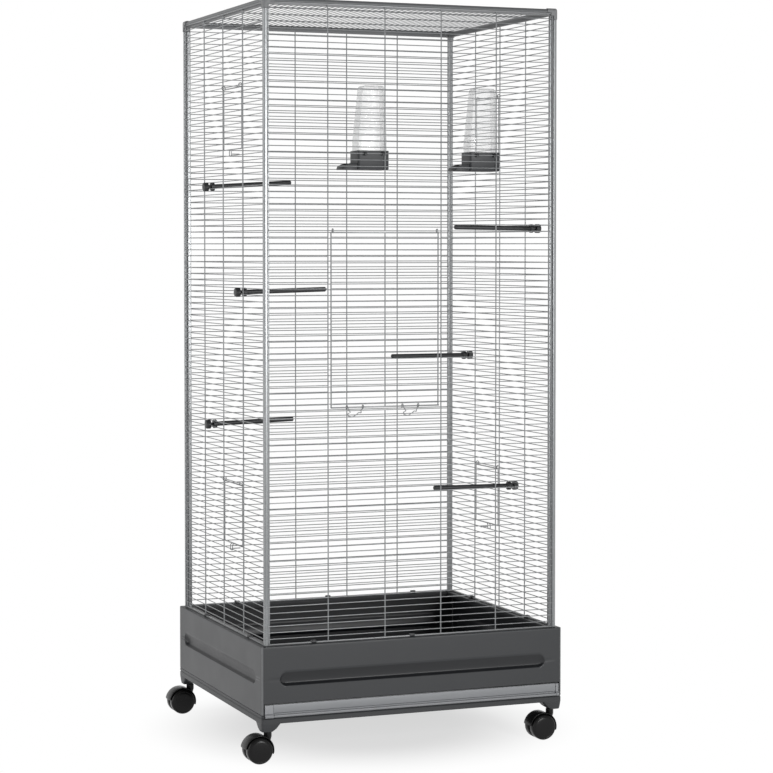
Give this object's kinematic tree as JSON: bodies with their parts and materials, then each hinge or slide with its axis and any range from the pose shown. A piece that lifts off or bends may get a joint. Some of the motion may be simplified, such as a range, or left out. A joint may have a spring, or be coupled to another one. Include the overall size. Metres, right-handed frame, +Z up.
{
  "type": "wire aviary",
  "caption": "Tall wire bird cage on a sheet steel base with a litter drawer, a front door, side hatches, perches, feeders and swivel casters.",
  "frame": {"origin": "on the floor, at the middle of the whole object's box", "axes": "+Z up, the front with the door faces -Y, +X to the right seen from the front"},
  "size_m": [0.6477, 0.5412, 1.412],
  "materials": {
    "silver_paint": "light silver powder coat, satin",
    "wire_paint": "grey powder coat, satin",
    "anthracite_paint": "dark grey powder coat, fine texture",
    "frame_paint": "moulded dark grey, satin",
    "tray_plastic": "moulded near-black, matt",
    "drawer_silver": "silver grey, satin",
    "connector_plastic": "moulded grey, satin",
    "perch_plastic": "moulded dark grey, matt",
    "feeder_plastic": "moulded grey, satin",
    "clear_plastic": "clear, glossy",
    "caster_plastic": "black, glossy",
    "stem_steel": "plain steel"
  },
  "bodies": {
    "cage": {"base_skirt": "anthracite_paint", "bottom_frame": "frame_paint", "post_front_left": "silver_paint", "post_front_right": "silver_paint", "post_back_right": "silver_paint", "post_back_left": "silver_paint", "top_rail_front": "silver_paint", "top_rail_right": "silver_paint", "top_rail_back": "silver_paint", "top_rail_left": "silver_paint", "corner_connector_front_left": "connector_plastic", "corner_connector_front_right": "connector_plastic", "corner_connector_back_right": "connector_plastic", "corner_connector_back_left": "connector_plastic", "panel_front": "wire_paint", "panel_back": "wire_paint", "panel_left": "wire_paint", "panel_right": "wire_paint", "panel_top": "wire_paint", "perch_left_top": "perch_plastic", "perch_left_middle": "perch_plastic", "perch_left_low": "perch_plastic", "perch_right_top": "perch_plastic", "perch_right_middle": "perch_plastic", "perch_right_low": "perch_plastic", "perch_nut_left_top": "perch_plastic", "perch_nut_left_middle": "perch_plastic", "perch_nut_left_low": "perch_plastic", "perch_nut_right_top": "perch_plastic", "perch_nut_right_middle": "perch_plastic", "perch_nut_right_low": "perch_plastic", "feeder_trough_left": "feeder_plastic", "feeder_trough_right": "feeder_plastic", "caster_stem_front_left": "stem_steel", "caster_stem_front_right": "stem_steel", "caster_stem_back_right": "stem_steel", "caster_stem_back_left": "stem_steel"},
    "drawer": {"drawer_tray": "tray_plastic", "drawer_front": "drawer_silver"},
    "front_door": {"front_door": "wire_paint"},
    "door_latch_left": {"door_latch_left": "wire_paint"},
    "door_latch_right": {"door_latch_right": "wire_paint"},
    "hatch_left_upper": {"hatch_left_upper": "wire_paint"},
    "hatch_left_lower": {"hatch_left_lower": "wire_paint"},
    "hatch_right_upper": {"hatch_right_upper": "wire_paint"},
    "hatch_right_lower": {"hatch_right_lower": "wire_paint"},
    "feeder_reservoir_left": {"feeder_reservoir_left": "clear_plastic"},
    "feeder_reservoir_right": {"feeder_reservoir_right": "clear_plastic"},
    "caster_front_left": {"caster_hood_front_left": "caster_plastic"},
    "caster_wheel_front_left_front": {"caster_wheel_front_left_front": "caster_plastic"},
    "caster_wheel_front_left_back": {"caster_wheel_front_left_back": "caster_plastic"},
    "caster_front_right": {"caster_hood_front_right": "caster_plastic"},
    "caster_wheel_front_right_front": {"caster_wheel_front_right_front": "caster_plastic"},
    "caster_wheel_front_right_back": {"caster_wheel_front_right_back": "caster_plastic"},
    "caster_back_right": {"caster_hood_back_right": "caster_plastic"},
    "caster_wheel_back_right_front": {"caster_wheel_back_right_front": "caster_plastic"},
    "caster_wheel_back_right_back": {"caster_wheel_back_right_back": "caster_plastic"},
    "caster_back_left": {"caster_hood_back_left": "caster_plastic"},
    "caster_wheel_back_left_front": {"caster_wheel_back_left_front": "caster_plastic"},
    "caster_wheel_back_left_back": {"caster_wheel_back_left_back": "caster_plastic"}
  },
  "joints": [
    {"name": "drawer_slide", "type": "slide", "parent": "cage", "child": "drawer", "axis": [0, -1, 0], "range_m": [0, 0.4]},
    {"name": "front_door_hinge", "type": "hinge", "parent": "cage", "child": "front_door", "pos_m": [-0.04364, -0.25505, 0.985], "axis": [-1, 0, 0], "range_deg": [0, 120]},
    {"name": "door_latch_left_hinge", "type": "hinge", "parent": "front_door", "child": "door_latch_left", "pos_m": [-0.10459, -0.2546, 0.655], "axis": [-1, 0, 0], "range_deg": [0, 90]},
    {"name": "door_latch_right_hinge", "type": "hinge", "parent": "front_door", "child": "door_latch_right", "pos_m": [0.00741, -0.2546, 0.655], "axis": [-1, 0, 0], "range_deg": [0, 90]},
    {"name": "hatch_left_upper_hinge", "type": "hinge", "parent": "cage", "child": "hatch_left_upper", "pos_m": [-0.28214, -0.06119, 1.261], "axis": [0, 1, 0], "range_deg": [0, 110]},
    {"name": "hatch_left_lower_hinge", "type": "hinge", "parent": "cage", "child": "hatch_left_lower", "pos_m": [-0.28214, -0.06119, 0.505], "axis": [0, 1, 0], "range_deg": [0, 110]},
    {"name": "hatch_right_upper_hinge", "type": "hinge", "parent": "cage", "child": "hatch_right_upper", "pos_m": [0.30896, 0.06119, 1.261], "axis": [0, -1, 0], "range_deg": [0, 110]},
    {"name": "hatch_right_lower_hinge", "type": "hinge", "parent": "cage", "child": "hatch_right_lower", "pos_m": [0.30896, 0.06119, 0.505], "axis": [0, -1, 0], "range_deg": [0, 110]},
    {"name": "feeder_reservoir_left_lift", "type": "slide", "parent": "cage", "child": "feeder_reservoir_left", "axis": [0, 0, 1], "range_m": [0, 0.04]},
    {"name": "feeder_reservoir_right_lift", "type": "slide", "parent": "cage", "child": "feeder_reservoir_right", "axis": [0, 0, 1], "range_m": [0, 0.04]},
    {"name": "caster_swivel_front_left", "type": "hinge", "parent": "cage", "child": "caster_front_left", "pos_m": [-0.27584, -0.24875, 0], "axis": [0, 0, 1], "continuous": true},
    {"name": "caster_wheel_front_left_front_axle", "type": "hinge", "parent": "caster_front_left", "child": "caster_wheel_front_left_front", "pos_m": [-0.29584, -0.25265, 0.02452], "axis": [0, 1, 0], "continuous": true},
    {"name": "caster_wheel_front_left_back_axle", "type": "hinge", "parent": "caster_front_left", "child": "caster_wheel_front_left_back", "pos_m": [-0.29584, -0.24485, 0.02452], "axis": [0, 1, 0], "continuous": true},
    {"name": "caster_swivel_front_right", "type": "hinge", "parent": "cage", "child": "caster_front_right", "pos_m": [0.30266, -0.24875, 0], "axis": [0, 0, 1], "continuous": true},
    {"name": "caster_wheel_front_right_front_axle", "type": "hinge", "parent": "caster_front_right", "child": "caster_wheel_front_right_front", "pos_m": [0.28266, -0.25265, 0.02452], "axis": [0, 1, 0], "continuous": true},
    {"name": "caster_wheel_front_right_back_axle", "type": "hinge", "parent": "caster_front_right", "child": "caster_wheel_front_right_back", "pos_m": [0.28266, -0.24485, 0.02452], "axis": [0, 1, 0], "continuous": true},
    {"name": "caster_swivel_back_right", "type": "hinge", "parent": "cage", "child": "caster_back_right", "pos_m": [0.30266, 0.24875, 0], "axis": [0, 0, 1], "continuous": true},
    {"name": "caster_wheel_back_right_front_axle", "type": "hinge", "parent": "caster_back_right", "child": "caster_wheel_back_right_front", "pos_m": [0.28266, 0.24485, 0.02452], "axis": [0, 1, 0], "continuous": true},
    {"name": "caster_wheel_back_right_back_axle", "type": "hinge", "parent": "caster_back_right", "child": "caster_wheel_back_right_back", "pos_m": [0.28266, 0.25265, 0.02452], "axis": [0, 1, 0], "continuous": true},
    {"name": "caster_swivel_back_left", "type": "hinge", "parent": "cage", "child": "caster_back_left", "pos_m": [-0.27584, 0.24875, 0], "axis": [0, 0, 1], "continuous": true},
    {"name": "caster_wheel_back_left_front_axle", "type": "hinge", "parent": "caster_back_left", "child": "caster_wheel_back_left_front", "pos_m": [-0.29584, 0.24485, 0.02452], "axis": [0, 1, 0], "continuous": true},
    {"name": "caster_wheel_back_left_back_axle", "type": "hinge", "parent": "caster_back_left", "child": "caster_wheel_back_left_back", "pos_m": [-0.29584, 0.25265, 0.02452], "axis": [0, 1, 0], "continuous": true}
  ]
}
